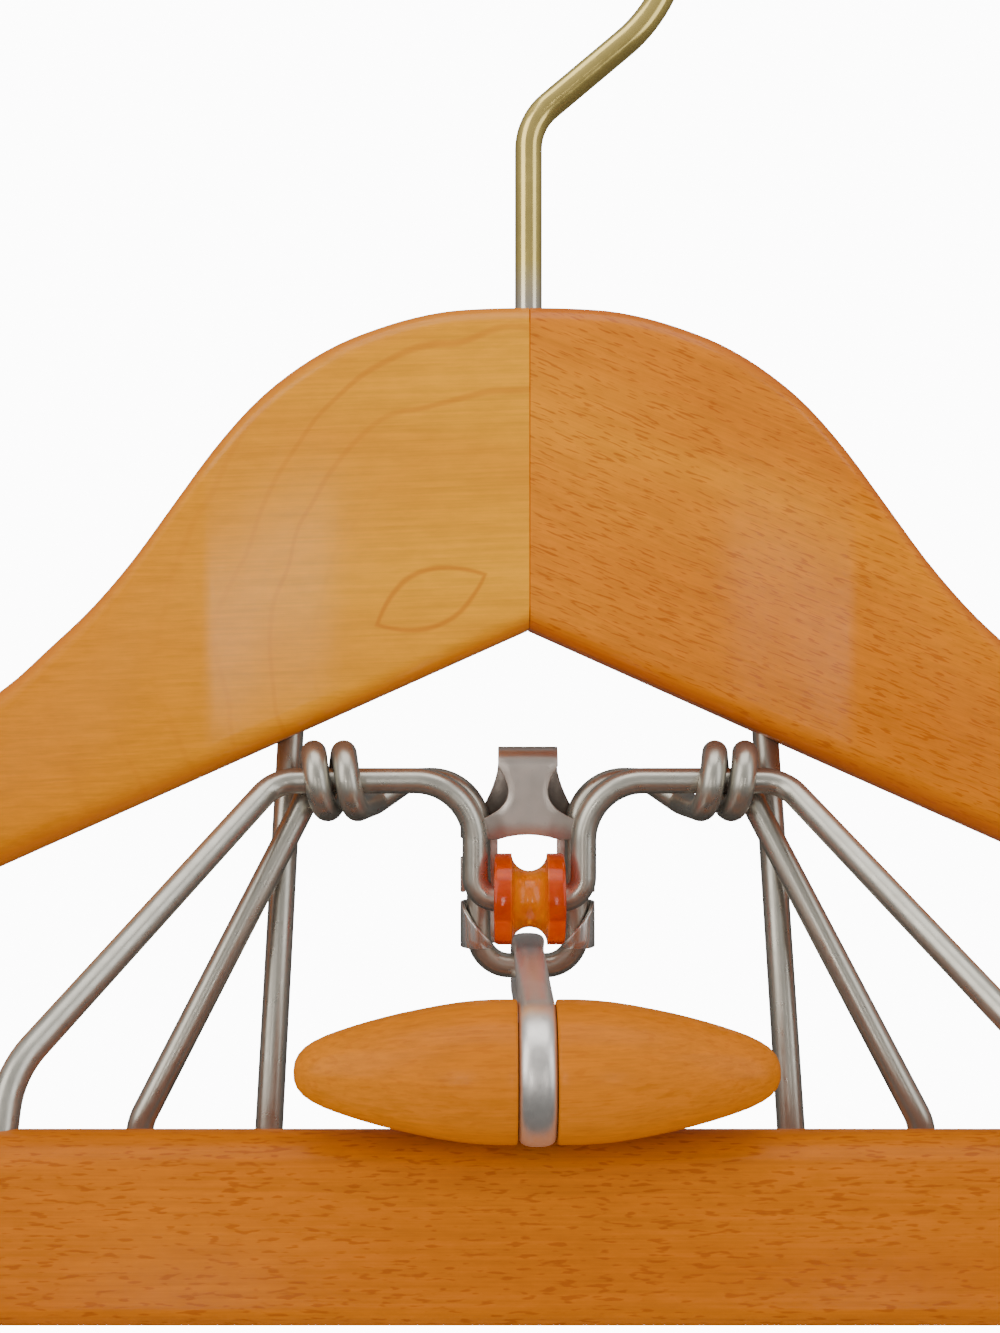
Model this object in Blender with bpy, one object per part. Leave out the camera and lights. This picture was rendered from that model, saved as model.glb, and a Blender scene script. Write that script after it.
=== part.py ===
# Suit hanger: two wooden shoulders on a wire hook, with a wire-framed trouser clamp below.
# Metres, +Z up, the front towards -Y. The origin is the top of the hook's throat, where the
# hook rests on a rail. The clamp is modelled open, its handle lying over the front bar.
import math

import bmesh
import bpy
from mathutils import Matrix, Vector

# Clearances
SEAT_GAP = 0.0003
CUT_OVERRUN = 0.0040

# Hook
HOOK_WIRE = 0.0038
HOOK_THROAT = 0.0380
HOOK_NECK = 0.0277
HOOK_BEND = 0.0080
HOOK_IN_WOOD = 0.0250
HOOK_JOIN_ANGLE = math.radians(-50)
HOOK_END_ANGLE = math.radians(205)

# Wooden shoulders
SHOULDER_SPAN = 0.4300
SHOULDER_DROP = 0.1170
CENTRE_DEPTH = 0.0436
UNDER_DROP = 0.0963
SHOULDER_THICKNESS = 0.0190
SHOULDER_EDGE = 0.0050
SHOULDER_SWEEP = 0.0250
TIP_LENGTH = 0.0080

# A shoulder from the mitre to the tip: share of the half span, share of the drop,
# share of the straight underside's depth, share of the thickness
SHOULDER_SHARES = (
    (0.0000, 0.0000, 1.000, 1.00),
    (0.0456, 0.0026, 1.000, 1.00),
    (0.0712, 0.0103, 1.000, 1.00),
    (0.0967, 0.0239, 1.000, 1.00),
    (0.1223, 0.0427, 1.000, 1.00),
    (0.1484, 0.0709, 1.000, 0.99),
    (0.1740, 0.1094, 1.000, 0.99),
    (0.1995, 0.1624, 1.000, 0.99),
    (0.2251, 0.2274, 1.000, 0.98),
    (0.2507, 0.2932, 1.000, 0.98),
    (0.2763, 0.3487, 1.000, 0.97),
    (0.3023, 0.3949, 1.000, 0.96),
    (0.3279, 0.4385, 1.000, 0.96),
    (0.3721, 0.4923, 1.000, 0.96),
    (0.4651, 0.5855, 0.998, 0.98),
    (0.6047, 0.6923, 0.984, 1.02),
    (0.7442, 0.7863, 0.967, 1.04),
    (0.8837, 0.8846, 0.948, 1.02),
    (1.0000, 1.0000, 0.915, 0.94),
)
SWEEP_START_SHARE = 0.15
SWEEP_POWER = 1.5
SHOULDER_STATIONS = 30
TIP_STATIONS = 4

# Legs: straight rods from the wood to the rear bar
LEG_WIRE = 0.0037
LEG_SPREAD_TOP = 0.0678
LEG_SPREAD_FOOT = 0.0696
LEG_BACK = 0.0030
LEG_IN_WOOD = 0.0140
LEG_FOOT_BACK = 0.0025

# Hinge line of the clamp, below the wood over the coils and in front of its mid plane
HINGE_BELOW_WOOD = 0.00686
HINGE_FORWARD = 0.0060
CLAMP_OPEN = math.radians(22)

# Bars; the share is of the span, and the drop is from the hinge line to both crests when shut
BAR_SHARE = 0.6744
BAR_THICKNESS = 0.0100
BAR_HEIGHT = 0.0200
BAR_FOOT_ROUND = 0.0020
BAR_END_ROUND = 0.0025
BAR_DROP = 0.0465
REAR_BAR_FORWARD = 0.0130
CLAMP_GAP = 0.0008
WIRE_IN_BAR = 0.0110

# Front frame wire: arm, hinge run, loop with the roller's axle
FRONT_WIRE = 0.0035
FRONT_ARM_SPREAD = 0.1200
FRONT_KNEE = 0.0060
FRONT_KNEE_BEND = 0.0120
HINGE_RUN = 0.0692
HINGE_RUN_BEND = 0.0050
LOOP_WIDTH = 0.0148
LOOP_DROP = 0.0161
LOOP_TOP_BEND = 0.0082
LOOP_FOOT_BEND = 0.0030

# Rear spring wire: arm, coil round the hinge run, deeper loop behind
REAR_WIRE = 0.0035
COIL_CLEARANCE = 0.0003
COIL_PITCH = 0.0041
COIL_SPREAD = 0.0618
COIL_START = math.radians(50)
COIL_TURN = math.radians(670)
COIL_LEAD = 0.0016
COIL_LEAD_BEND = 0.0050
REAR_ARM_SPREAD = 0.1020
REAR_ARM_FORWARD = 0.0015
REAR_KNEE = 0.0025
REAR_KNEE_BEND = 0.0060
STEP_BACK = 0.0086
STEP_BACK_BEND = 0.0025
REAR_RUN_X = 0.0175
REAR_RUN_DROP = 0.0009
REAR_RUN_BEND = 0.0030
REAR_LOOP_BEHIND = 0.0120
REAR_LOOP_WIDTH = 0.0142
REAR_LOOP_DROP = 0.0277
REAR_LOOP_TOP_DROP = 0.0006
REAR_LOOP_TOP_BEND = 0.0069
REAR_LOOP_FOOT_BEND = 0.0045

# Saddle clip of folded sheet on the rear loop; levels are from the hinge line
CLIP_SHEET = 0.0006
CLIP_RISE = 0.0040
CLIP_NECK = 0.0057
CLIP_FOLD_WIDTH = 0.0086
CLIP_NECK_DROP = 0.0020
CLIP_BAND_TOP = 0.0066
CLIP_BAND_FOOT = 0.0092
CLIP_REAR_WIDE = 0.0060
CLIP_WINDOW = 0.0086
CLIP_WINDOW_TOP = 0.0076
CLIP_EAR_TOP = 0.0120
CLIP_EAR_FOOT = 0.0170
CLIP_TAB_TOP = 0.0184
CLIP_TAB_FOOT = 0.0249
CLIP_BAND_CURL = math.radians(100)
CLIP_EAR_CURL = math.radians(112)
CLIP_TAB_CURLS = (math.radians(196), math.radians(232))
# Flare from neck to full width: share of the height, share of the widening
FLARE_SHARES = ((0.35, 0.08), (0.60, 0.30), (0.80, 0.62))

# Roller
ROLLER_DIAMETER = 0.0123
ROLLER_WIDTH = 0.0096
ROLLER_GROOVE = 0.0048
ROLLER_GROOVE_DEPTH = 0.0023
ROLLER_RUNNING = 0.0003
ROLLER_EDGE = 0.0005

# Handle ring and wooden grip
RING_WIDTH = 0.0041
RING_REAR_WIDTH = 0.0049
RING_TAPER = 0.0080
RING_THICKNESS = 0.0026
RING_EDGE = 0.0009
RING_LENGTH = 0.0520
GRIP_LENGTH = 0.0528
GRIP_DIAMETER = 0.0152
GRIP_GROOVE_DEPTH = 0.0027
# Half profile of the grip: share of the half length, share of the radius
GRIP_SHARES = (
    (0.17, 1.000),
    (0.32, 0.960),
    (0.48, 0.866),
    (0.63, 0.752),
    (0.76, 0.627),
    (0.87, 0.497),
    (0.95, 0.375),
    (0.985, 0.280),
    (1.00, 0.180),
)

# Levels worked out from the sizes above
HOOK_RADIUS = (HOOK_THROAT + HOOK_WIRE) / 2
HOOK_CENTRE_Z = -HOOK_THROAT / 2
HOOK_CORNER_Z = HOOK_CENTRE_Z + HOOK_RADIUS / math.sin(HOOK_JOIN_ANGLE)
WOOD_TOP = HOOK_CORNER_Z - HOOK_NECK
HALF_SPAN = SHOULDER_SPAN / 2
UNDER_SLOPE = UNDER_DROP / HALF_SPAN
WOOD_OVER_COILS = CENTRE_DEPTH + UNDER_SLOPE * COIL_SPREAD / 2
HINGE = Vector((0, -HINGE_FORWARD, WOOD_TOP - WOOD_OVER_COILS - HINGE_BELOW_WOOD))
REAR_CREST = Vector((0, -REAR_BAR_FORWARD, HINGE.z - BAR_DROP))
FRONT_CREST_SHUT = Vector((0, REAR_CREST.y - BAR_THICKNESS - CLAMP_GAP - HINGE.y, -BAR_DROP))
OPENING = Matrix.Rotation(-CLAMP_OPEN, 3, "X")
AXLE = HINGE - Vector((0, 0, LOOP_DROP))
REAR_LOOP_Y = HINGE.y + REAR_LOOP_BEHIND
REAR_LOOP_FOOT = Vector((0, REAR_LOOP_Y, HINGE.z - REAR_LOOP_DROP))
COIL_RADIUS = (FRONT_WIRE + REAR_WIRE) / 2 + COIL_CLEARANCE
LEAF_STEP = (REAR_WIRE + CLIP_SHEET) / 2 + SEAT_GAP


def remove_everything():
    for item in list(bpy.data.objects):
        bpy.data.objects.remove(item, do_unlink=True)


def material(name, colour, roughness, metallic=0.0):
    mat = bpy.data.materials.new(name)
    mat.use_nodes = True
    shader = mat.node_tree.nodes["Principled BSDF"]
    shader.inputs["Base Color"].default_value = (*colour, 1.0)
    shader.inputs["Roughness"].default_value = roughness
    shader.inputs["Metallic"].default_value = metallic
    mat.diffuse_color = (*colour, 1.0)
    return mat


def add_object(name, data, mat, location=(0, 0, 0)):
    obj = bpy.data.objects.new(name, data)
    bpy.context.collection.objects.link(obj)
    obj.location = location
    data.materials.append(mat)
    return obj


def mesh_from(bm, name, smooth_angle=math.radians(35)):
    bmesh.ops.recalc_face_normals(bm, faces=bm.faces)
    mesh = bpy.data.meshes.new(name)
    bm.to_mesh(mesh)
    bm.free()
    mesh.shade_smooth()
    mesh.set_sharp_from_angle(angle=smooth_angle)
    return mesh


def drill(obj, name, start, end, radius):
    """A round hole into a piece, given in the world."""
    cutter = bpy.data.objects.new(name, rod_mesh(name, start, end, radius))
    bpy.context.collection.objects.link(cutter)
    cutter.hide_render = True
    cutter.display_type = "WIRE"
    modifier = obj.modifiers.new(name, "BOOLEAN")
    modifier.operation = "DIFFERENCE"
    modifier.solver = "EXACT"
    modifier.object = cutter


def rod_mesh(name, start, end, radius, sides=12):
    """A straight round rod between two points."""
    start, end = Vector(start), Vector(end)
    length = (end - start).length
    turn = (end - start).to_track_quat("Z", "Y").to_matrix().to_4x4()
    place = Matrix.Translation((start + end) / 2) @ turn
    bm = bmesh.new()
    bmesh.ops.create_cone(
        bm, cap_ends=True, segments=sides, radius1=radius, radius2=radius, depth=length, matrix=place)
    return mesh_from(bm, name)


def rounded_route(corners, arc_step=math.radians(15)):
    """Points along straight runs joined by arcs; each corner is (point, bend radius)."""
    points = [Vector(corners[0][0])]
    for before, here, after in zip(corners, corners[1:], corners[2:]):
        a, b, c = Vector(before[0]), Vector(here[0]), Vector(after[0])
        radius = here[1]
        u = (a - b).normalized()
        v = (c - b).normalized()
        turn = math.pi - u.angle(v)
        reach = radius * math.tan(turn / 2)
        centre = b + (u + v).normalized() * radius / math.cos(turn / 2)
        start = b + u * reach - centre
        axis = start.cross(b + v * reach - centre).normalized()
        steps = max(2, math.ceil(turn / arc_step))
        for k in range(steps + 1):
            points.append(centre + Matrix.Rotation(turn * k / steps, 3, axis) @ start)
    points.append(Vector(corners[-1][0]))
    return points


def wire(name, points, diameter, mat, origin=(0, 0, 0), sides_level=2):
    """A wire of one diameter along world points, with flat ends."""
    curve = bpy.data.curves.new(name, "CURVE")
    curve.dimensions = "3D"
    curve.bevel_depth = diameter / 2
    curve.bevel_resolution = sides_level
    curve.use_fill_caps = True
    spline = curve.splines.new("POLY")
    spline.points.add(len(points) - 1)
    for slot, point in zip(spline.points, points):
        slot.co = (*(point - Vector(origin)), 1)
    spline.use_smooth = True
    return add_object(name, curve, mat, origin)


def mirror_x(point):
    return Vector((-point.x, point.y, point.z))


def loft(bm, rings, closed=False):
    """Skins a row of point rings, with flat ends unless the row is closed on itself."""
    loops = [[bm.verts.new(p) for p in ring] for ring in rings]
    pairs = list(zip(loops, loops[1:]))
    if closed:
        pairs.append((loops[-1], loops[0]))
    count = len(loops[0])
    for one, two in pairs:
        for k in range(count):
            n = (k + 1) % count
            bm.faces.new((one[k], one[n], two[n], two[k]))
    if not closed:
        bm.faces.new(loops[0])
        bm.faces.new(loops[-1])


def smooth_value(xs, ys, x):
    """A smooth curve through the points (Hermite, with slopes from the neighbours)."""
    last = len(xs) - 1
    k = 0
    while k < last - 1 and x > xs[k + 1]:
        k += 1

    def slope(i):
        lo, hi = max(i - 1, 0), min(i + 1, last)
        return (ys[hi] - ys[lo]) / (xs[hi] - xs[lo])

    width = xs[k + 1] - xs[k]
    t = (x - xs[k]) / width
    first = slope(k) if k > 0 else 0
    second = slope(k + 1)
    return (
        (2 * t**3 - 3 * t**2 + 1) * ys[k]
        + (t**3 - 2 * t**2 + t) * width * first
        + (-2 * t**3 + 3 * t**2) * ys[k + 1]
        + (t**3 - t**2) * width * second
    )


def rounded_section(half_width, half_height, radius, steps=3):
    """Corner-rounded rectangle as (across, up) pairs, counted round from the lower right."""
    points = []
    for quarter, (sx, sy) in enumerate(((1, -1), (1, 1), (-1, 1), (-1, -1))):
        centre = (sx * (half_width - radius), sy * (half_height - radius))
        for k in range(steps + 1):
            angle = -math.pi / 2 + quarter * math.pi / 2 + k * math.pi / 2 / steps
            points.append((centre[0] + radius * math.cos(angle), centre[1] + radius * math.sin(angle)))
    return points


def shoulder_level(x):
    """Top and underside of the wood at a distance from the mitre."""
    xs = [row[0] * HALF_SPAN for row in SHOULDER_SHARES]
    tops = [row[1] * SHOULDER_DROP for row in SHOULDER_SHARES]
    top = WOOD_TOP - smooth_value(xs, tops, x)
    share = smooth_value(xs, [row[2] for row in SHOULDER_SHARES], x)
    under = WOOD_TOP - (CENTRE_DEPTH + UNDER_SLOPE * x) * share
    return top, under


def shoulder_sweep(x):
    start = SWEEP_START_SHARE * HALF_SPAN
    return -SHOULDER_SWEEP * (max(0, x - start) / (HALF_SPAN - start)) ** SWEEP_POWER


def shoulder_rings(side):
    xs = [row[0] * HALF_SPAN for row in SHOULDER_SHARES]
    thick = [row[3] * SHOULDER_THICKNESS for row in SHOULDER_SHARES]
    body_end = HALF_SPAN - TIP_LENGTH
    places = [(SEAT_GAP / 2 + (body_end - SEAT_GAP / 2) * k / SHOULDER_STATIONS, 1.0)
              for k in range(SHOULDER_STATIONS + 1)]
    for k in range(1, TIP_STATIONS + 1):
        angle = math.pi / 2 * k / (TIP_STATIONS + 1)
        places.append((body_end + TIP_LENGTH * math.sin(angle), math.cos(angle)))
    rings = []
    for x, shrink in places:
        top, under = shoulder_level(x)
        half_height = (top - under) / 2 * shrink
        half_thick = smooth_value(xs, thick, x) / 2 * shrink
        radius = min(SHOULDER_EDGE * shrink, half_height, half_thick)
        middle = (top + under) / 2
        sweep = shoulder_sweep(x)
        rings.append([(side * x, sweep + a, middle + b)
                      for a, b in rounded_section(half_thick, half_height, radius)])
    return rings


def leg_ends(side):
    """Top end and foot of a leg, and the direction up it."""
    top_x = LEG_SPREAD_TOP / 2
    entry = Vector((side * top_x, LEG_BACK, shoulder_level(top_x)[1]))
    crest = Vector((side * LEG_SPREAD_FOOT / 2, REAR_CREST.y + LEG_FOOT_BACK, REAR_CREST.z))
    upward = (entry - crest).normalized()
    return entry + upward * LEG_IN_WOOD, crest - upward * WIRE_IN_BAR, upward


def make_hook(mat):
    join = Vector((HOOK_RADIUS * math.cos(HOOK_JOIN_ANGLE), 0,
                   HOOK_CENTRE_Z + HOOK_RADIUS * math.sin(HOOK_JOIN_ANGLE)))
    points = rounded_route([
        ((0, 0, WOOD_TOP - HOOK_IN_WOOD), 0),
        ((0, 0, HOOK_CORNER_Z), HOOK_BEND),
        (join, 0),
    ])
    steps = 20
    for k in range(1, steps + 1):
        angle = HOOK_JOIN_ANGLE + (HOOK_END_ANGLE - HOOK_JOIN_ANGLE) * k / steps
        points.append(Vector((HOOK_RADIUS * math.cos(angle), 0, HOOK_CENTRE_Z + HOOK_RADIUS * math.sin(angle))))
    return wire("hook", points, HOOK_WIRE, mat, sides_level=4)


def make_shoulder(name, side, mat):
    bm = bmesh.new()
    loft(bm, shoulder_rings(side))
    obj = add_object(name, mesh_from(bm, name), mat)
    drill(obj, name + "_hook_hole", (0, 0, WOOD_TOP - HOOK_IN_WOOD - SEAT_GAP),
          (0, 0, WOOD_TOP + CUT_OVERRUN), HOOK_WIRE / 2 + SEAT_GAP)
    return obj


def bar_section():
    """Upright bar with a half-round crest, as (y, z) from the middle of its crest."""
    half = BAR_THICKNESS / 2
    points = []
    steps = 8
    for k in range(steps + 1):
        angle = math.pi * k / steps
        points.append((half * math.cos(angle), -half + half * math.sin(angle)))
    for quarter, sx in enumerate((-1, 1)):
        centre = (sx * (half - BAR_FOOT_ROUND), -BAR_HEIGHT + BAR_FOOT_ROUND)
        for k in range(3):
            angle = math.pi + quarter * math.pi / 2 + k * math.pi / 4
            points.append((centre[0] + BAR_FOOT_ROUND * math.cos(angle),
                           centre[1] + BAR_FOOT_ROUND * math.sin(angle)))
    return points


def make_bar(name, crest, origin, mat):
    """A bar along X; its crest passes through a point given from the piece's origin."""
    middle = -BAR_HEIGHT / 2
    half = SHOULDER_SPAN * BAR_SHARE / 2
    steps = 3
    ends = [(half - BAR_END_ROUND + BAR_END_ROUND * math.sin(math.pi / 2 * k / steps),
             BAR_END_ROUND * (1 - math.cos(math.pi / 2 * k / steps))) for k in range(steps + 1)]
    rings = []
    for x, inset in [(-x, inset) for x, inset in reversed(ends)] + ends:
        fit_y = 1 - inset / (BAR_THICKNESS / 2)
        fit_z = 1 - inset / (BAR_HEIGHT / 2)
        rings.append([(x, crest.y + a * fit_y, crest.z + middle + (b - middle) * fit_z)
                      for a, b in bar_section()])
    bm = bmesh.new()
    loft(bm, rings)
    return add_object(name, mesh_from(bm, name), mat, origin)


def front_foot(side, rise):
    """A place on the line of a front frame foot, above the front bar's crest, clamp open."""
    return HINGE + OPENING @ (FRONT_CREST_SHUT + Vector((side * FRONT_ARM_SPREAD / 2, 0, rise)))


def make_front_frame(mat):
    left = [
        (front_foot(-1, -WIRE_IN_BAR), 0),
        (front_foot(-1, FRONT_KNEE), FRONT_KNEE_BEND),
        (HINGE - Vector((HINGE_RUN / 2, 0, 0)), HINGE_RUN_BEND),
        (HINGE - Vector((LOOP_WIDTH / 2, 0, 0)), LOOP_TOP_BEND),
        (AXLE - Vector((LOOP_WIDTH / 2, 0, 0)), LOOP_FOOT_BEND),
    ]
    points = rounded_route(left + [(mirror_x(p), radius) for p, radius in reversed(left)])
    return wire("front_frame", points, FRONT_WIRE, mat, HINGE, sides_level=3)


def coil_point(turned):
    """A place on the left coil's centre line: up the back, over the top and down the front."""
    angle = COIL_START + turned
    return HINGE + Vector((
        -COIL_SPREAD / 2 + COIL_PITCH * turned / math.tau,
        COIL_RADIUS * math.sin(angle),
        -COIL_RADIUS * math.cos(angle)))


def coil_heading(turned):
    angle = COIL_START + turned
    round_way = math.tau * COIL_RADIUS
    return Vector((COIL_PITCH, round_way * math.cos(angle), round_way * math.sin(angle))).normalized()


def rear_foot(side, rise):
    return Vector((side * REAR_ARM_SPREAD / 2, REAR_CREST.y - REAR_ARM_FORWARD, REAR_CREST.z + rise))


def rear_wire_half():
    """The left half of the rear wire, from its foot to the middle of its loop."""
    steps = 30
    coil = [coil_point(COIL_TURN * k / steps) for k in range(steps + 1)]
    arm = rounded_route([
        (rear_foot(-1, -WIRE_IN_BAR), 0),
        (rear_foot(-1, REAR_KNEE), REAR_KNEE_BEND),
        (coil[0] - coil_heading(0) * COIL_LEAD, COIL_LEAD_BEND),
        (coil[0], 0),
    ])
    loop_x = REAR_LOOP_WIDTH / 2
    loop = rounded_route([
        (coil[-1], 0),
        (coil[-1] + coil_heading(COIL_TURN) * STEP_BACK, STEP_BACK_BEND),
        ((-REAR_RUN_X, REAR_LOOP_Y, HINGE.z - REAR_RUN_DROP), REAR_RUN_BEND),
        ((-loop_x, REAR_LOOP_Y, HINGE.z - REAR_LOOP_TOP_DROP), REAR_LOOP_TOP_BEND),
        ((-loop_x, REAR_LOOP_Y, REAR_LOOP_FOOT.z), REAR_LOOP_FOOT_BEND),
        (REAR_LOOP_FOOT, 0),
    ])
    return arm[:-1] + coil + loop[1:]


def least_gap(points, diameter):
    """Least distance, surface to surface, between stretches of a wire that aren't neighbours."""
    along = [0.0]
    for a, b in zip(points, points[1:]):
        along.append(along[-1] + (b - a).length)
    gaps = []
    for i, a in enumerate(points):
        for j in range(i + 1, len(points)):
            if along[j] - along[i] > 3 * diameter:
                gaps.append((points[j] - a).length - diameter)
    return min(gaps)


def make_rear_spring(mat):
    half = rear_wire_half()
    points = half + [mirror_x(p) for p in reversed(half[:-1])]
    print("rear_spring: least gap to itself %.2f mm" % (1000 * least_gap(points, REAR_WIRE)))
    return wire("rear_spring", points, REAR_WIRE, mat)


def make_roller(mat):
    radius = ROLLER_DIAMETER / 2
    bore = FRONT_WIRE / 2 + ROLLER_RUNNING
    half = ROLLER_WIDTH / 2
    groove = ROLLER_GROOVE / 2
    profile = [(half - ROLLER_EDGE, radius)]
    steps = 8
    for k in range(steps + 1):
        angle = math.pi * k / steps
        profile.append((groove * math.cos(angle), radius - ROLLER_GROOVE_DEPTH * math.sin(angle)))
    profile.append((-half + ROLLER_EDGE, radius))
    profile.append((-half, radius - ROLLER_EDGE))
    profile.append((-half, bore))
    profile.append((half, bore))
    profile.append((half, radius - ROLLER_EDGE))
    sides = 24
    rings = []
    for k in range(sides):
        angle = 2 * math.pi * k / sides
        rings.append([(x, r * math.cos(angle), r * math.sin(angle)) for x, r in profile])
    bm = bmesh.new()
    loft(bm, rings, closed=True)
    return add_object("roller", mesh_from(bm, "roller"), mat, AXLE)


def ring_bows():
    """Centre-line radii of the ring's rear and front bows, and the slant of its strands."""
    small = REAR_WIRE / 2 + SEAT_GAP + RING_THICKNESS / 2
    large = GRIP_DIAMETER / 2 - GRIP_GROOVE_DEPTH + SEAT_GAP + RING_THICKNESS / 2
    return small, large, math.asin((large - small) / RING_LENGTH)


def handle_lean():
    """Turn of the handle forward from hanging, with its ring lying on the open front bar."""
    small, large, slant = ring_bows()
    span = HINGE + OPENING @ (FRONT_CREST_SHUT - Vector((0, 0, BAR_THICKNESS / 2))) - REAR_LOOP_FOOT
    reach = small + (RING_THICKNESS + BAR_THICKNESS) / 2 + SEAT_GAP
    return math.atan2(-span.y, -span.z) + slant + math.asin(reach / span.length)


def ring_path():
    """Centre line of the ring as (y, z) from the rear loop, hanging straight down.

    Each strand has one more point where the strap's taper ends."""
    small, large, slant = ring_bows()
    steps = 10
    points = []
    for k in range(steps + 1):
        angle = math.pi / 2 + (math.pi / 2 - slant) * (1 - 2 * k / steps)
        points.append(Vector((small * math.cos(angle), small * math.sin(angle))))
    for k in range(steps + 1):
        angle = -math.pi / 2 + (math.pi / 2 + slant) * (1 - 2 * k / steps)
        points.append(Vector((large * math.cos(angle), large * math.sin(angle) - RING_LENGTH)))
    taper_share = RING_TAPER / RING_LENGTH
    down = points[steps].lerp(points[steps + 1], taper_share)
    back = points[0].lerp(points[-1], taper_share)
    points.insert(steps + 1, down)
    points.append(back)
    return points


def make_ring(mat):
    path = ring_path()
    rings = []
    for k, here in enumerate(path):
        along = (path[(k + 1) % len(path)] - path[k - 1]).normalized()
        widening = (RING_REAR_WIDTH - RING_WIDTH) * min(1, max(0, 1 + here.y / RING_TAPER))
        half_width = (RING_WIDTH + widening) / 2
        rings.append([(x, here.x + along.y * rise, here.y - along.x * rise)
                      for x, rise in rounded_section(half_width, RING_THICKNESS / 2, RING_EDGE, steps=2)])
    bm = bmesh.new()
    loft(bm, rings, closed=True)
    obj = add_object("handle_ring", mesh_from(bm, "handle_ring"), mat, REAR_LOOP_FOOT)
    obj.rotation_euler = (-handle_lean(), 0, 0)
    return obj


def make_grip(mat):
    half = GRIP_LENGTH / 2
    radius = GRIP_DIAMETER / 2
    groove_half = RING_WIDTH / 2 + SEAT_GAP
    floor = radius - GRIP_GROOVE_DEPTH
    side = [(groove_half, floor), (groove_half, radius)]
    side += [(a * half, b * radius) for a, b in GRIP_SHARES]
    profile = [(-x, r) for x, r in reversed(side)] + side
    sides = 20
    bm = bmesh.new()
    rings = []
    for x, r in profile:
        rings.append([(x, r * math.cos(2 * math.pi * k / sides), r * math.sin(2 * math.pi * k / sides))
                      for k in range(sides)])
    loft(bm, rings)
    lean = handle_lean()
    place = REAR_LOOP_FOOT - RING_LENGTH * Vector((0, math.sin(lean), math.cos(lean)))
    return add_object("grip", mesh_from(bm, "grip"), mat, place)


def clip_rows():
    """Rows of the folded sheet from the front band over the fold to the rear leaf: (y, z, half width)."""
    full = REAR_LOOP_WIDTH / 2
    neck = CLIP_NECK / 2
    fold_half = CLIP_FOLD_WIDTH / 2
    front_y, rear_y = REAR_LOOP_Y - LEAF_STEP, REAR_LOOP_Y + LEAF_STEP
    fold_z = HINGE.z + CLIP_RISE - CLIP_SHEET / 2 - LEAF_STEP
    neck_z = HINGE.z - CLIP_NECK_DROP
    band_z = HINGE.z - CLIP_BAND_TOP
    rows = [(front_y, HINGE.z - CLIP_BAND_FOOT, full), (front_y, band_z, full)]
    for height, widening in reversed(FLARE_SHARES):
        rows.append((front_y, neck_z + (band_z - neck_z) * height, neck + (full - neck) * widening))
    rows.append((front_y, neck_z, neck))
    rows.append((front_y, (neck_z + fold_z) / 2, (neck + fold_half) / 2))
    steps = 6
    for k in range(steps + 1):
        angle = math.pi * k / steps
        rows.append((REAR_LOOP_Y - LEAF_STEP * math.cos(angle), fold_z + LEAF_STEP * math.sin(angle), fold_half))
    wide_z = HINGE.z - CLIP_REAR_WIDE
    rows.append((rear_y, neck_z, fold_half))
    for height, widening in FLARE_SHARES:
        rows.append((rear_y, neck_z + (wide_z - neck_z) * height, fold_half + (full - fold_half) * widening))
    rows.append((rear_y, wide_z, full))
    rows.append((rear_y, HINGE.z - CLIP_WINDOW_TOP, full))
    strips = len(rows) - 1
    for drop in (CLIP_EAR_TOP, CLIP_EAR_FOOT, CLIP_TAB_TOP, CLIP_TAB_FOOT):
        rows.append((rear_y, HINGE.z - drop, full))
    return rows, strips


def roll(bm, side, edge, turns, behind, steps=7):
    """Rolls the sheet on from an edge of two points, round an upright of the rear loop."""
    for k in range(1, steps + 1):
        pair = []
        for vert, turn in zip(edge, turns):
            angle = turn * k / steps
            pair.append(bm.verts.new((
                side * (REAR_LOOP_WIDTH / 2 + LEAF_STEP * math.sin(angle)),
                REAR_LOOP_Y + behind * LEAF_STEP * math.cos(angle),
                vert.co.z)))
        bm.faces.new((edge[0], pair[0], pair[1], edge[1]))
        edge = pair


def make_clip(mat):
    """One folded sheet: front leaf with a band, fold, rear leaf with a window, all rolled round the loop."""
    rows, strips = clip_rows()
    inner_share = CLIP_WINDOW / REAR_LOOP_WIDTH
    bm = bmesh.new()
    grid = [[bm.verts.new((half * share, y, z)) for share in (-1, -inner_share, 0, inner_share, 1)]
            for y, z, half in rows]
    for index, (a, b) in enumerate(zip(grid, grid[1:])):
        for col in range(4):
            if index < strips or col in (0, 3):
                bm.faces.new((a[col], a[col + 1], b[col + 1], b[col]))
    for upper, lower, turns, behind in (
            (1, 0, (CLIP_BAND_CURL, CLIP_BAND_CURL), -1),
            (strips + 1, strips + 2, (CLIP_EAR_CURL, CLIP_EAR_CURL), 1),
            (strips + 3, strips + 4, CLIP_TAB_CURLS, 1)):
        for side, col in ((-1, 0), (1, 4)):
            roll(bm, side, (grid[upper][col], grid[lower][col]), turns, behind)
    for vert in [v for v in bm.verts if not v.link_faces]:
        bm.verts.remove(vert)
    obj = add_object("saddle_clip", mesh_from(bm, "saddle_clip"), mat)
    sheet = obj.modifiers.new("sheet", "SOLIDIFY")
    sheet.thickness = CLIP_SHEET
    sheet.offset = 0
    sheet.use_even_offset = True
    return obj


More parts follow.
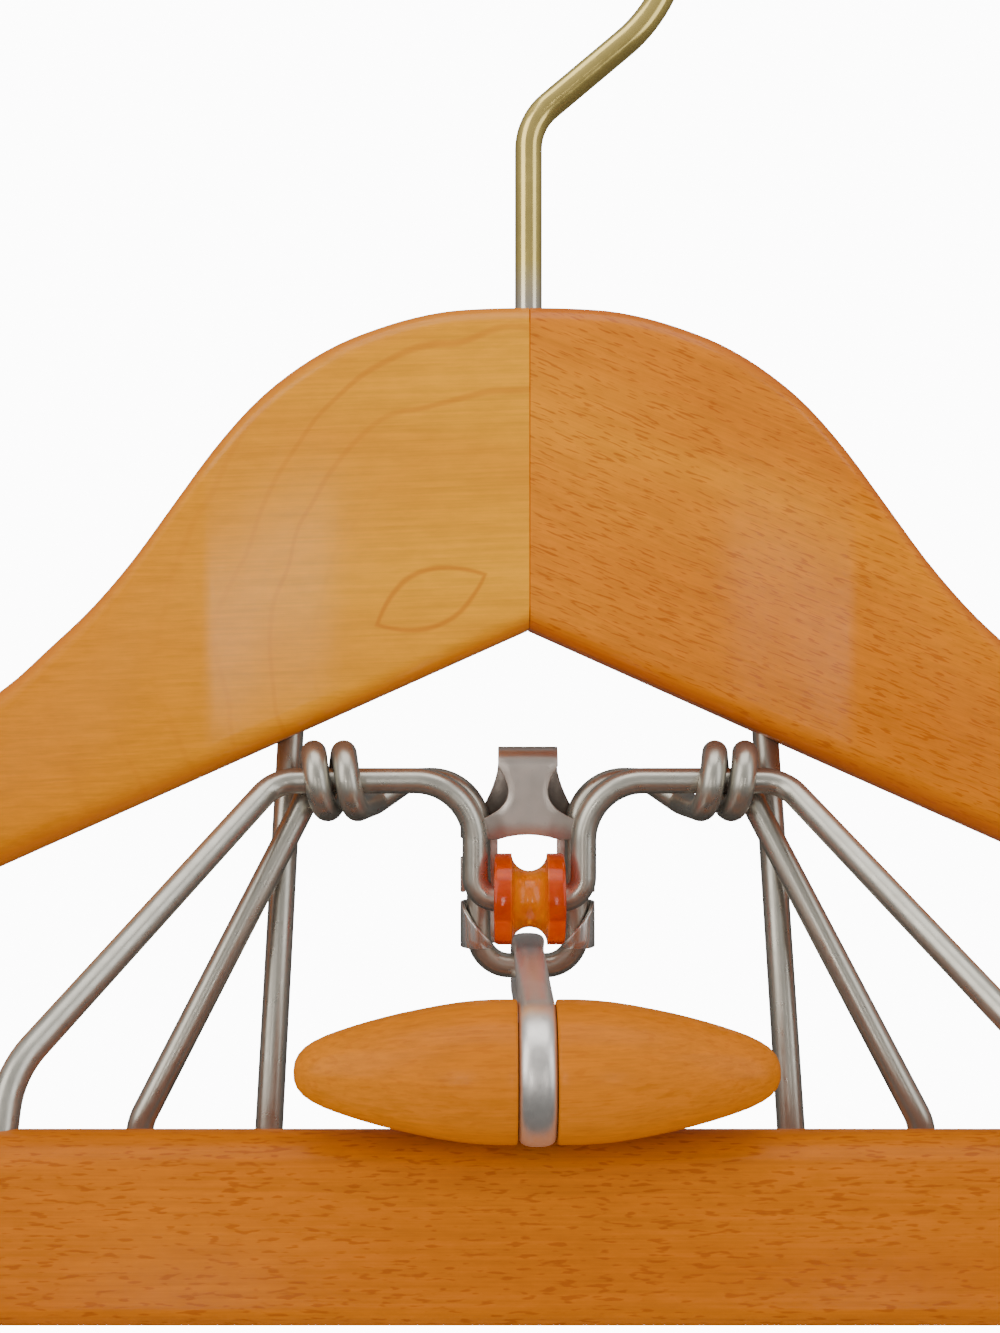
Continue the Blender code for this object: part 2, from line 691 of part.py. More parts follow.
def build():
    remove_everything()
    brass = material("hook_brass", (0.62, 0.50, 0.26), 0.28, 1.0)
    maple = material("left_wood", (0.78, 0.47, 0.14), 0.35)
    beech = material("right_wood", (0.72, 0.36, 0.10), 0.35)
    steel = material("leg_steel", (0.55, 0.52, 0.49), 0.32, 1.0)
    front_steel = material("front_frame_steel", (0.55, 0.53, 0.50), 0.32, 1.0)
    rear_steel = material("rear_spring_steel", (0.52, 0.49, 0.46), 0.32, 1.0)
    sheet = material("clip_steel", (0.56, 0.52, 0.48), 0.36, 1.0)
    amber = material("roller_amber", (0.85, 0.28, 0.02), 0.15)
    ring_steel = material("ring_steel", (0.58, 0.56, 0.54), 0.30, 1.0)
    front_wood = material("front_bar_wood", (0.66, 0.30, 0.08), 0.38)
    rear_wood = material("rear_bar_wood", (0.62, 0.29, 0.08), 0.38)
    grip_wood = material("grip_wood", (0.72, 0.38, 0.13), 0.36)

    make_hook(brass)
    rear_bar = make_bar("rear_bar", Vector((0, 0, 0)), REAR_CREST, rear_wood)
    front_bar = make_bar("front_bar", FRONT_CREST_SHUT, HINGE, front_wood)
    front_bar.rotation_euler = (-CLAMP_OPEN, 0, 0)
    leg_hole = LEG_WIRE / 2 + SEAT_GAP
    for side, name, wood in ((-1, "left", maple), (1, "right", beech)):
        shoulder = make_shoulder(name + "_shoulder", side, wood)
        top, foot, upward = leg_ends(side)
        drill(shoulder, name + "_leg_top_hole", top + upward * SEAT_GAP,
              top - upward * (LEG_IN_WOOD + CUT_OVERRUN), leg_hole)
        drill(rear_bar, name + "_leg_foot_hole", foot - upward * SEAT_GAP,
              foot + upward * (WIRE_IN_BAR + CUT_OVERRUN), leg_hole)
        add_object(name + "_leg", rod_mesh(name + "_leg", foot - top, (0, 0, 0), LEG_WIRE / 2), steel, top)
        drill(rear_bar, name + "_rear_foot_hole", rear_foot(side, -WIRE_IN_BAR - SEAT_GAP),
              rear_foot(side, CUT_OVERRUN), REAR_WIRE / 2 + SEAT_GAP)
        drill(front_bar, name + "_front_foot_hole", front_foot(side, -WIRE_IN_BAR - SEAT_GAP),
              front_foot(side, CUT_OVERRUN), FRONT_WIRE / 2 + SEAT_GAP)
    make_rear_spring(rear_steel)
    make_clip(sheet)
    make_front_frame(front_steel)
    make_roller(amber)
    make_ring(ring_steel)
    make_grip(grip_wood)


build()
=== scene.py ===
import math

import bmesh
import bpy
from mathutils import Matrix, Vector


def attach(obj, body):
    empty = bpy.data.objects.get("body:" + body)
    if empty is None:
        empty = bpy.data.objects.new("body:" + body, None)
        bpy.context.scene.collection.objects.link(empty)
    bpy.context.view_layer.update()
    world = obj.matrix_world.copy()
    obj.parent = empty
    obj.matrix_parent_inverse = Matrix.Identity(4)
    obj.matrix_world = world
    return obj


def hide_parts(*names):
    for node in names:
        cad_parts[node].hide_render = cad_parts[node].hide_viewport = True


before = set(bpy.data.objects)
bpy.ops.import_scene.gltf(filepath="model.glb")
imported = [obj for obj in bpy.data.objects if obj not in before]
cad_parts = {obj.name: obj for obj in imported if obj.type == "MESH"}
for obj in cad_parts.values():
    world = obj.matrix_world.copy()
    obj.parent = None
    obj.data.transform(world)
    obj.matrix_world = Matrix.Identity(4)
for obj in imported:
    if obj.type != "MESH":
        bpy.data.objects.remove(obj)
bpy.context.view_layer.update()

# The photograph is taken from close in front, level, with the lens straight ahead.
# A pale floor lies well below the hanger, out of that view, under a white studio sky.
# Two soft strips by the camera draw the bands on wood and wire; broad lamps and the sky fill in.
EYE = Vector((-0.004, -0.200, -0.1227))
FLOOR_Z = -0.50
FLOOR_HALF = 0.55
SKY_ON_OBJECT = 0.84
SKY_THROUGH_PLASTIC = 1.8
SKY_BEHIND = 12.0
SKY_IN_GLOSS_BELOW, SKY_IN_GLOSS_ABOVE = 0.05, 0.60

camera_data = bpy.data.cameras.new("photo_view")
camera_data.lens = 38.4
camera_data.sensor_width = 36
camera_data.clip_start = 0.01
camera = bpy.data.objects.new("photo_view", camera_data)
camera.location = EYE
camera.rotation_euler = (math.radians(90), 0, 0)
bpy.context.collection.objects.link(camera)
bpy.context.scene.camera = camera


def put(tree, kind, sockets=None, **settings):
    """Adds a node; each socket gets a number or colour, or a link from another node's output."""
    node = tree.nodes.new(kind)
    for key, value in settings.items():
        setattr(node, key, value)
    for key, value in (sockets or {}).items():
        socket = node.inputs[key]
        if isinstance(value, bpy.types.NodeSocket):
            tree.links.new(value, socket)
        elif socket.type == "RGBA":
            socket.default_value = (*value, 1)
        else:
            socket.default_value = value
    return node


def along_axis(tree, vector, axis):
    """One of a vector's three parts."""
    return put(tree, "ShaderNodeSeparateXYZ", {0: vector}).outputs[axis]


def span(tree, value, low, high, at_low, at_high):
    """Carries a value over from one range to another, and holds it past both ends."""
    sockets = {0: value, 1: low, 2: high, 3: at_low, 4: at_high}
    return put(tree, "ShaderNodeMapRange", sockets).outputs[0]


def maths(tree, operation, *values):
    """One step of arithmetic on one, two or three values."""
    return put(tree, "ShaderNodeMath", dict(enumerate(values)), operation=operation).outputs[0]


def between(tree, share, first, second):
    """A number that lies a share of the way from the first to the second."""
    return put(tree, "ShaderNodeMix", {0: share, 2: first, 3: second}).outputs[0]


def blend(tree, share, first, second, way="MIX"):
    """Lays the second colour over the first by a share."""
    sockets = {0: share, 6: first, 7: second}
    return put(tree, "ShaderNodeMix", sockets, data_type="RGBA", blend_type=way).outputs[2]


def soft_lamp(name, place, aim, size, watts, tint):
    lamp = bpy.data.lights.new(name, "AREA")
    lamp.shape = "RECTANGLE"
    lamp.size, lamp.size_y = size
    lamp.energy = watts
    lamp.color = tint
    obj = bpy.data.objects.new(name, lamp)
    obj.location = place
    obj.rotation_euler = (Vector(aim) - Vector(place)).to_track_quat("-Z", "Y").to_euler()
    bpy.context.collection.objects.link(obj)


WOOD_MIDDLE = (0, 0, -0.13)
soft_lamp("left_strip", (-0.157, -0.62, -0.120), (-0.038, 0, -0.118), (0.050, 0.21), 0.29, (1.0, 0.97, 0.93))
soft_lamp("right_strip", (0.177, -0.62, -0.125), (0.035, 0, -0.118), (0.036, 0.20), 0.16, (1.0, 0.97, 0.94))
soft_lamp("left_softbox", (-0.60, -0.55, 0.20), WOOD_MIDDLE, (0.5, 0.8), 3.2, (1.0, 0.98, 0.95))
soft_lamp("right_softbox", (0.65, -0.50, 0.10), WOOD_MIDDLE, (0.4, 0.8), 1.8, (0.96, 0.98, 1.0))
soft_lamp("top_softbox", (0.0, -0.25, 0.75), WOOD_MIDDLE, (0.9, 0.6), 3.5, (1.0, 1.0, 1.0))

world = bpy.data.worlds.new("studio_sky")
bpy.context.scene.world = world
world.use_nodes = True
sky = world.node_tree
sky.nodes.clear()
heading = put(sky, "ShaderNodeTexCoord").outputs["Generated"]
upward_light = span(sky, along_axis(sky, heading, "Z"), -0.6, 0.9, SKY_IN_GLOSS_BELOW, SKY_IN_GLOSS_ABOVE)
darker_behind = span(sky, along_axis(sky, heading, "Y"), -0.1, 0.6, 1.0, 0.35)
in_gloss = maths(sky, "MULTIPLY", upward_light, darker_behind)
ray = put(sky, "ShaderNodeLightPath").outputs
strength = between(sky, ray["Is Glossy Ray"], SKY_ON_OBJECT, in_gloss)
strength = between(sky, ray["Is Transmission Ray"], strength, SKY_THROUGH_PLASTIC)
strength = between(sky, ray["Is Camera Ray"], strength, SKY_BEHIND)
backdrop = put(sky, "ShaderNodeBackground", {"Color": (1, 1, 1), "Strength": strength})
put(sky, "ShaderNodeOutputWorld", {"Surface": backdrop.outputs[0]})

floor_mesh = bpy.data.meshes.new("floor")
bm = bmesh.new()
bmesh.ops.create_grid(bm, x_segments=1, y_segments=1, size=FLOOR_HALF,
                      matrix=Matrix.Translation((0, 0, FLOOR_Z)))
bm.to_mesh(floor_mesh)
bm.free()
floor = bpy.data.objects.new("floor", floor_mesh)
bpy.context.collection.objects.link(floor)
floor.visible_glossy = False
floor_card = bpy.data.materials.new("floor_card")
floor_card.use_nodes = True
tree = floor_card.node_tree
shader = tree.nodes["Principled BSDF"]
fibres = put(tree, "ShaderNodeTexNoise", {"Scale": 60.0, "Detail": 4.0}).outputs[0]
pale = blend(tree, fibres, (0.86, 0.86, 0.85), (0.92, 0.92, 0.91))
tree.links.new(pale, shader.inputs["Base Color"])
shader.inputs["Roughness"].default_value = 0.9
floor_mesh.materials.append(floor_card)

# Hook: one steel wire, 3.8 mm, plated with thin brass, bent to a round crook over a straight
# shank, its tip ground round. The shank turns in a blind hole at the middle of the wood, and
# the brass has rubbed off where it goes in.
WOOD_TOP = -0.073983
HOOK_WIRE = 0.0038
SHANK_IN_WOOD = 0.025
CROOK_RADIUS = 0.0209
CROOK_CENTRE = -0.0190
CROOK_START, CROOK_END = -50, 206
NECK_BEND = 0.008
BARE_STEEL = (0.68, 0.65, 0.60)


def bent_route(corners, arc_step=math.radians(5)):
    """Points along straight runs joined by arcs; each corner is (point, bend radius)."""
    points = [Vector(corners[0][0])]
    for before, here, after in zip(corners, corners[1:], corners[2:]):
        a, b, c = Vector(before[0]), Vector(here[0]), Vector(after[0])
        u = (a - b).normalized()
        v = (c - b).normalized()
        turn = math.pi - u.angle(v)
        reach = here[1] * math.tan(turn / 2)
        centre = b + (u + v).normalized() * here[1] / math.cos(turn / 2)
        start = b + u * reach - centre
        axis = start.cross(b + v * reach - centre).normalized()
        steps = max(2, math.ceil(turn / arc_step))
        for k in range(steps + 1):
            points.append(centre + Matrix.Rotation(turn * k / steps, 3, axis) @ start)
    points.append(Vector(corners[-1][0]))
    return points


def drawn_wire(node, points, diameter, finish, body, round_tip=False):
    """A round wire along the points, in place of the CAD node; its last end may be a dome."""
    curve = bpy.data.curves.new(node, "CURVE")
    curve.dimensions = "3D"
    curve.bevel_depth = diameter / 2
    curve.bevel_resolution = 8
    curve.use_fill_caps = True
    widths = [1.0] * len(points)
    if round_tip:
        tip = points[-1]
        along = (tip - points[-2]).normalized()
        points, widths = points[:-1], widths[:-1]
        for angle in map(math.radians, (0, 20, 40, 58, 72, 83)):
            points.append(tip + along * (math.sin(angle) - 1) * diameter / 2)
            widths.append(math.cos(angle))
    spline = curve.splines.new("POLY")
    spline.points.add(len(points) - 1)
    for slot_point, point, width in zip(spline.points, points, widths):
        slot_point.co = (*point, 1)
        slot_point.radius = width
    spline.use_smooth = True
    curve.materials.append(finish)
    obj = bpy.data.objects.new(node + "_wire", curve)
    bpy.context.collection.objects.link(obj)
    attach(obj, body)
    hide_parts(node)


def ramp(tree, factor, stops):
    """A colour ramp; each stop is (place, colour or grey)."""
    node = put(tree, "ShaderNodeValToRGB", {0: factor})
    while len(node.color_ramp.elements) < len(stops):
        node.color_ramp.elements.new(0.5)
    for element, (place, colour) in zip(node.color_ramp.elements, stops):
        element.position = place
        element.color = (colour, colour, colour, 1) if isinstance(colour, float) else (*colour, 1)
    return node.outputs[0]


def noise(tree, where, scale, detail, **sockets):
    """Soft noise; its scale is one number, or three where it is drawn out along an axis."""
    if isinstance(scale, tuple):
        where = put(tree, "ShaderNodeMapping", {"Vector": where, "Scale": scale}).outputs[0]
        scale = 1.0
    sockets.update({"Vector": where, "Scale": scale, "Detail": detail})
    return put(tree, "ShaderNodeTexNoise", sockets).outputs[0]


def darkened(colour, *shares):
    return tuple(part * share for part, share in zip(colour, shares))


def plated_metal(name, bright, dull, roughness, draw_scale=(700, 700, 700)):
    """Plated metal: cloudy dulling, fine draw marks in its gloss, and specks of grime."""
    mat = bpy.data.materials.new(name)
    mat.use_nodes = True
    tree = mat.node_tree
    shader = tree.nodes["Principled BSDF"]
    shader.inputs["Metallic"].default_value = 0.88
    where = put(tree, "ShaderNodeTexCoord").outputs["Object"]
    clouds = noise(tree, where, 140.0, 5.0, Roughness=0.6)
    colour = blend(tree, ramp(tree, clouds, [(0.40, 0.0), (0.72, 0.35)]), bright, dull)
    specks = ramp(tree, noise(tree, where, 900.0, 2.0), [(0.66, 0.0), (0.80, 0.22)])
    colour = blend(tree, specks, colour, darkened(dull, 0.60, 0.57, 0.54))
    tree.links.new(colour, shader.inputs["Base Color"])
    marks = noise(tree, where, draw_scale, 1.0)
    rough = span(tree, marks, 0.3, 0.7, roughness - 0.04, roughness + 0.05)
    tree.links.new(rough, shader.inputs["Roughness"])
    bump = put(tree, "ShaderNodeBump", {"Height": marks, "Strength": 0.03, "Distance": 0.0001})
    tree.links.new(bump.outputs[0], shader.inputs["Normal"])
    return mat


hook_brass = plated_metal("hook_brass", (0.86, 0.66, 0.20), (0.60, 0.46, 0.15), 0.17)
tree = hook_brass.node_tree
shader = tree.nodes["Principled BSDF"]
level = along_axis(tree, put(tree, "ShaderNodeTexCoord").outputs["Object"], "Z")
rubbed_off = span(tree, level, WOOD_TOP + 0.0010, WOOD_TOP + 0.0080, 0.9, 0.0)
brass = shader.inputs["Base Color"].links[0].from_socket
tree.links.new(blend(tree, rubbed_off, brass, BARE_STEEL), shader.inputs["Base Color"])

crook = [Vector((CROOK_RADIUS * math.cos(t), 0, CROOK_CENTRE + CROOK_RADIUS * math.sin(t)))
         for t in map(math.radians, range(CROOK_START, CROOK_END, 3))]
neck = (0, 0, CROOK_CENTRE + CROOK_RADIUS / math.sin(math.radians(CROOK_START)))
shank = bent_route([((0, 0, WOOD_TOP - SHANK_IN_WOOD), 0), (neck, NECK_BEND), (crook[0], 0)])
drawn_wire("hook", shank + crook[1:], HOOK_WIRE, hook_brass, "hook", round_tip=True)

# Shoulders: two pieces of hardwood, 19 mm thick, cut to the coat's line, mitred and glued at
# the middle, with their edges rounded over, then stained and lacquered. The left is maple
# with faint growth rings; the right is beech, full of short dark flecks.
HALF_SPAN = 0.2146
SHOULDER_DROP = 0.1170
SHOULDER_THICKNESS = 0.0190
CENTRE_DEPTH = 0.0436
UNDERSIDE_SLOPE = 0.448
FLAT_FRONT = 0.0428
TIP_ROUND = 0.008
HOLE_ROOM, DRILL_PAST = 0.0003, 0.004
# Each row: share of the half span, then shares of the top's drop, the depth and the thickness.
SHOULDER_LINE = (
    (0.0000, 0.0000, 1.000, 1.00), (0.0456, 0.0026, 1.000, 1.00), (0.0712, 0.0103, 1.000, 1.00),
    (0.0967, 0.0239, 1.000, 1.00), (0.1223, 0.0427, 1.000, 1.00), (0.1484, 0.0709, 1.000, 0.99),
    (0.1740, 0.1094, 1.000, 0.99), (0.1995, 0.1624, 1.000, 0.99), (0.2251, 0.2274, 1.000, 0.98),
    (0.2507, 0.2932, 1.000, 0.98), (0.2763, 0.3487, 1.000, 0.97), (0.3023, 0.3949, 1.000, 0.96),
    (0.3279, 0.4385, 1.000, 0.96), (0.3721, 0.4923, 1.000, 0.96), (0.4651, 0.5855, 0.998, 0.98),
    (0.6047, 0.6923, 0.984, 1.02), (0.7442, 0.7863, 0.967, 1.04), (0.8837, 0.8846, 0.948, 1.02),
    (1.0000, 1.0000, 0.915, 0.94),
)


def along_line(column, share):
    """A smooth curve through one column of the shoulder's line."""
    last = len(SHOULDER_LINE) - 1
    k = 0
    while k < last - 1 and share > SHOULDER_LINE[k + 1][0]:
        k += 1

    def slope(i):
        low, high = SHOULDER_LINE[max(i - 1, 0)], SHOULDER_LINE[min(i + 1, last)]
        return (high[column] - low[column]) / (high[0] - low[0])

    here, there = SHOULDER_LINE[k], SHOULDER_LINE[k + 1]
    width = there[0] - here[0]
    t = (share - here[0]) / width
    first = slope(k) if k else 0
    return ((2 * t**3 - 3 * t**2 + 1) * here[column] + (t**3 - 2 * t**2 + t) * width * first
            + (3 * t**2 - 2 * t**3) * there[column] + (t**3 - t**2) * width * slope(k + 1))


def wood_heights(x):
    """The wood's top and underside at a distance from the middle."""
    top = WOOD_TOP - SHOULDER_DROP * along_line(1, x / HALF_SPAN)
    under = WOOD_TOP - (CENTRE_DEPTH + UNDERSIDE_SLOPE * x) * along_line(2, x / HALF_SPAN)
    return top, under


def eased_section(half_width, half_height, radius, steps=7):
    """A rectangle with rounded corners, as (across, up) pairs."""
    points = []
    for quarter, (sx, sy) in enumerate(((1, -1), (1, 1), (-1, 1), (-1, -1))):
        for k in range(steps + 1):
            angle = math.pi / 2 * (quarter - 1 + k / steps)
            points.append((sx * (half_width - radius) + radius * math.cos(angle),
                           sy * (half_height - radius) + radius * math.sin(angle)))
    return points


def extrude_on(bm, edges, row, places):
    """Extrudes a row of vertices and puts the new row in its places."""
    made = bmesh.ops.extrude_edge_only(bm, edges=edges)["geom"]
    fresh = [g for g in made if isinstance(g, bmesh.types.BMVert)]
    index = {vert: k for k, vert in enumerate(row)}
    new_row = [None] * len(row)
    for vert in fresh:
        for edge in vert.link_edges:
            other = edge.other_vert(vert)
            if other in index:
                new_row[index[other]] = vert
    for vert, place in zip(new_row, places):
        vert.co = place
    new_edges = [g for g in made if isinstance(g, bmesh.types.BMEdge)]
    return new_edges, new_row


def shaped_along(rings, closed=False):
    """A body whose section changes along its length: one ring, extruded to each next place."""
    bm = bmesh.new()
    row = [bm.verts.new(p) for p in rings[0]]
    first = [bm.edges.new((row[k - 1], row[k])) for k in range(len(row))]
    edges = first
    for places in rings[1:]:
        edges, row = extrude_on(bm, edges, row, places)
    if closed:
        bmesh.ops.bridge_loops(bm, edges=first + edges)
    else:
        bmesh.ops.holes_fill(bm, edges=first + edges)
    bmesh.ops.recalc_face_normals(bm, faces=bm.faces)
    return bm


def drilled(obj, holes):
    """The object's mesh with round holes cut in it; each hole is (start, end, radius)."""
    bm = bmesh.new()
    for start, end, radius in holes:
        start, end = Vector(start), Vector(end)
        turn = (end - start).to_track_quat("Z", "Y").to_matrix().to_4x4()
        bmesh.ops.create_cone(bm, cap_ends=True, segments=32, radius1=radius, radius2=radius,
                              depth=(end - start).length,
                              matrix=Matrix.Translation((start + end) / 2) @ turn)
    drill_mesh = bpy.data.meshes.new("drill")
    bm.to_mesh(drill_mesh)
    bm.free()
    drill = bpy.data.objects.new("drill", drill_mesh)
    bpy.context.collection.objects.link(drill)
    cut = obj.modifiers.new("drill", "BOOLEAN")
    cut.operation = "DIFFERENCE"
    cut.solver = "EXACT"
    cut.object = drill
    bpy.context.view_layer.update()
    depsgraph = bpy.context.evaluated_depsgraph_get()
    mesh = bpy.data.meshes.new_from_object(obj.evaluated_get(depsgraph))
    obj.modifiers.clear()
    bpy.data.objects.remove(drill, do_unlink=True)
    return mesh


def finished_piece(name, bm, finish, body, node, holes=()):
    """Makes the object, drills its holes, and puts it in its body in place of the CAD node."""
    mesh = bpy.data.meshes.new(name)
    bm.to_mesh(mesh)
    bm.free()
    obj = bpy.data.objects.new(name, mesh)
    bpy.context.collection.objects.link(obj)
    if holes:
        obj.data = drilled(obj, holes)
    obj.data.materials.clear()
    obj.data.materials.append(finish)
    obj.data.shade_smooth()
    obj.data.set_sharp_from_angle(angle=math.radians(40))
    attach(obj, body)
    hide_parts(node)
    return obj


RING_CENTRE = (-0.004, 0.0, -0.1205)
RING_STRETCH = (1.0, 0.3, 0.88)
RING_SPACING = 0.0068
LEAF_TILT = math.radians(25)
LEAF_PLACE = Matrix.Rotation(LEAF_TILT, 3, "Y") @ Vector((-0.0134, 0, -0.1138))
LEAF_HALF_LENGTH, LEAF_HALF_HEIGHT = 0.0078, 0.0036


def maple_figure(tree, where, from_mitre, drift, colour, deep):
    """Faint growth rings near the mitre, and the leaf-shaped eye that they leave in the grain."""
    dark = darkened(deep, 0.66, 0.50, 0.45)
    centred = put(tree, "ShaderNodeMapping", {
        "Vector": where, "Scale": RING_STRETCH,
        "Location": tuple(-c * s for c, s in zip(RING_CENTRE, RING_STRETCH))}).outputs[0]
    reach = put(tree, "ShaderNodeVectorMath", {0: centred}, operation="LENGTH").outputs["Value"]
    unrest = noise(tree, where, 38.0, 2.0)
    uneven = maths(tree, "ADD", reach, maths(tree, "MULTIPLY", unrest, 0.009))
    wave = maths(tree, "SINE", maths(tree, "MULTIPLY", uneven, math.tau / RING_SPACING))
    thin = ramp(tree, wave, [(0.90, 0.0), (0.995, 0.40)])
    outside = span(tree, reach, 0.023, 0.030, 0.0, 1.0)
    faded = span(tree, unrest, 0.38, 0.58, 0.35, 1.0)
    near = span(tree, from_mitre, 0.024, 0.042, 1.0, 0.30)
    shown = maths(tree, "MULTIPLY", maths(tree, "MULTIPLY", outside, faded), near)
    colour = blend(tree, maths(tree, "MULTIPLY", thin, shown), colour, dark)

    tilted = put(tree, "ShaderNodeMapping", {"Vector": where, "Rotation": (0, LEAF_TILT, 0)}).outputs[0]
    spot = put(tree, "ShaderNodeVectorMath", {0: tilted, 1: LEAF_PLACE}, operation="SUBTRACT").outputs[0]
    share = put(tree, "ShaderNodeVectorMath", {
        0: spot, 1: (1 / LEAF_HALF_LENGTH, 0, 1 / LEAF_HALF_HEIGHT)}, operation="MULTIPLY").outputs[0]
    across = along_axis(tree, share, "X")
    up = maths(tree, "ABSOLUTE", along_axis(tree, share, "Z"))
    leaf = maths(tree, "ADD", maths(tree, "MULTIPLY", across, across), up)
    ragged = maths(tree, "MULTIPLY_ADD", drift, 0.6, leaf)
    off_edge = maths(tree, "ABSOLUTE", maths(tree, "SUBTRACT", ragged, 1.28))
    return blend(tree, span(tree, off_edge, 0.04, 0.15, 0.55, 0.0), colour, dark)


def lacquered_wood(name, tones, grain_turn=0.0, fleck=None, fleck_share=0.0, figure=None,
                   outer_share=0.0, edge_shade_share=0.0, coat=0.12, coat_past_flat=None):
    """Stained hardwood under lacquer: slow drift of colour, fine grain lines, short flecks or
    a figure, a tone that deepens towards the outer ends (partly painted sheen left pale at the
    middle), and painted shade on the eased edges. The tones are pale, middle and deep."""
    mat = bpy.data.materials.new(name)
    mat.use_nodes = True
    tree = mat.node_tree
    shader = tree.nodes["Principled BSDF"]
    pale, middle, deep = tones
    coordinates = put(tree, "ShaderNodeTexCoord").outputs
    where = coordinates["Object"]
    from_mitre = maths(tree, "ABSOLUTE", along_axis(tree, where, "X"))
    flatness = maths(tree, "ABSOLUTE", along_axis(tree, coordinates["Normal"], "Y"))
    turned = put(tree, "ShaderNodeMapping", {"Vector": where, "Rotation": (0, grain_turn, 0)}).outputs[0]
    drift = noise(tree, turned, (9, 40, 45), 3.0, Distortion=0.4)
    colour = ramp(tree, drift, [(0.30, pale), (0.52, middle), (0.74, deep)])
    # Darker towards the outer ends, paler at the mitre: partly the wood's own tone, partly a painted sheen
    # on the middle of the face.
    if outer_share:
        colour = blend(tree, span(tree, from_mitre, 0.010, 0.065, 0.0, outer_share), colour, deep)
    grain = noise(tree, turned, (40, 1500, 2400), 5.0, Roughness=0.7)
    colour = blend(tree, 1.0, colour, ramp(tree, grain, [(0.36, 0.84), (0.60, 1.0)]), "MULTIPLY")
    mottle = noise(tree, turned, (220, 600, 700), 4.0, Roughness=0.7)
    colour = blend(tree, 1.0, colour, ramp(tree, mottle, [(0.36, 0.90), (0.62, 1.0)]), "MULTIPLY")
    if fleck:
        flecks = ramp(tree, noise(tree, turned, fleck, 1.0), [(0.58, 0.0), (0.66, fleck_share)])
        colour = blend(tree, flecks, colour, darkened(deep, 0.52, 0.32, 0.30))
    if figure:
        colour = figure(tree, where, from_mitre, drift, colour, deep)
    # Painted shade: where the eased edges turn away from the front, their colour is darkened by how far the
    # normal turns.
    if edge_shade_share:
        rounded = span(tree, flatness, 0.985, 0.60, 0.0, edge_shade_share)
        colour = blend(tree, rounded, colour, darkened(deep, 0.86, 0.66, 0.50))
    tree.links.new(colour, shader.inputs["Base Color"])
    rough = span(tree, noise(tree, where, 55.0, 4.0), 0.3, 0.7, 0.37, 0.52)
    tree.links.new(rough, shader.inputs["Roughness"])
    shader.inputs["Specular IOR Level"].default_value = 0.08
    shader.inputs["Coat Weight"].default_value = coat
    shader.inputs["Coat Roughness"].default_value = 0.15
    if coat_past_flat is not None:
        along_front = span(tree, from_mitre, FLAT_FRONT - 0.0004, FLAT_FRONT + 0.0012, coat, coat_past_flat)
        on_face = span(tree, flatness, 0.80, 0.93, 0.0, 1.0)
        tree.links.new(between(tree, on_face, coat * 0.8, along_front), shader.inputs["Coat Weight"])
    bump = put(tree, "ShaderNodeBump", {"Height": grain, "Strength": 0.10, "Distance": 0.0002})
    tree.links.new(bump.outputs[0], shader.inputs["Normal"])
    tree.links.new(bump.outputs[0], shader.inputs["Coat Normal"])
    return mat


def shoulder_rings(side, stations=120, tip_stations=10):
    """Sections from the mitre to the tip. The front is flat near the middle, then sweeps forward."""
    mitre_ease = 0.0001
    body_end = HALF_SPAN - TIP_ROUND
    places = [(0.0, 1.0)]
    places += [(mitre_ease + (body_end - mitre_ease) * k / stations, 1.0) for k in range(stations + 1)]
    for k in range(1, tip_stations + 1):
        angle = math.pi / 2 * k / (tip_stations + 1)
        places.append((body_end + TIP_ROUND * math.sin(angle), math.cos(angle)))
    rings = []
    for x, shrink in places:
        top, under = wood_heights(x)
        eased = mitre_ease if x == 0 else 0
        half_height = (top - under) / 2 * shrink - eased
        half_thick = SHOULDER_THICKNESS / 2 * along_line(3, x / HALF_SPAN) * shrink - eased
        radius = min((0.0030 + 0.0035 * x / HALF_SPAN) * shrink, half_height, half_thick)
        past_flat = x - FLAT_FRONT
        sweep = 0.045 * (math.hypot(past_flat, 0.0014) + past_flat) + 0.319 * max(0, past_flat) ** 2
        rings.append([(side * x, a - sweep, (top + under) / 2 + b)
                      for a, b in eased_section(half_thick, half_height, radius)])
    return rings


HINGE = Vector((0, -0.006, WOOD_TOP - 0.0643))
REAR_CREST = Vector((0, -0.013, HINGE.z - 0.0465))
LEG_ROD = 0.0037
LEG_TOP_X, LEG_TOP_Y = 0.0339, 0.003
LEG_FOOT_X, LEG_FOOT_BACK = 0.0348, 0.0025
LEG_IN_WOOD = 0.014
FOOT_IN_BAR = 0.011


def leg_line(side):
    """Top end and foot of a leg, and the direction up it."""
    entry = Vector((side * LEG_TOP_X, LEG_TOP_Y, wood_heights(LEG_TOP_X)[1]))
    crest = Vector((side * LEG_FOOT_X, REAR_CREST.y + LEG_FOOT_BACK, REAR_CREST.z))
    upward = (entry - crest).normalized()
    return entry + upward * LEG_IN_WOOD, crest - upward * FOOT_IN_BAR, upward


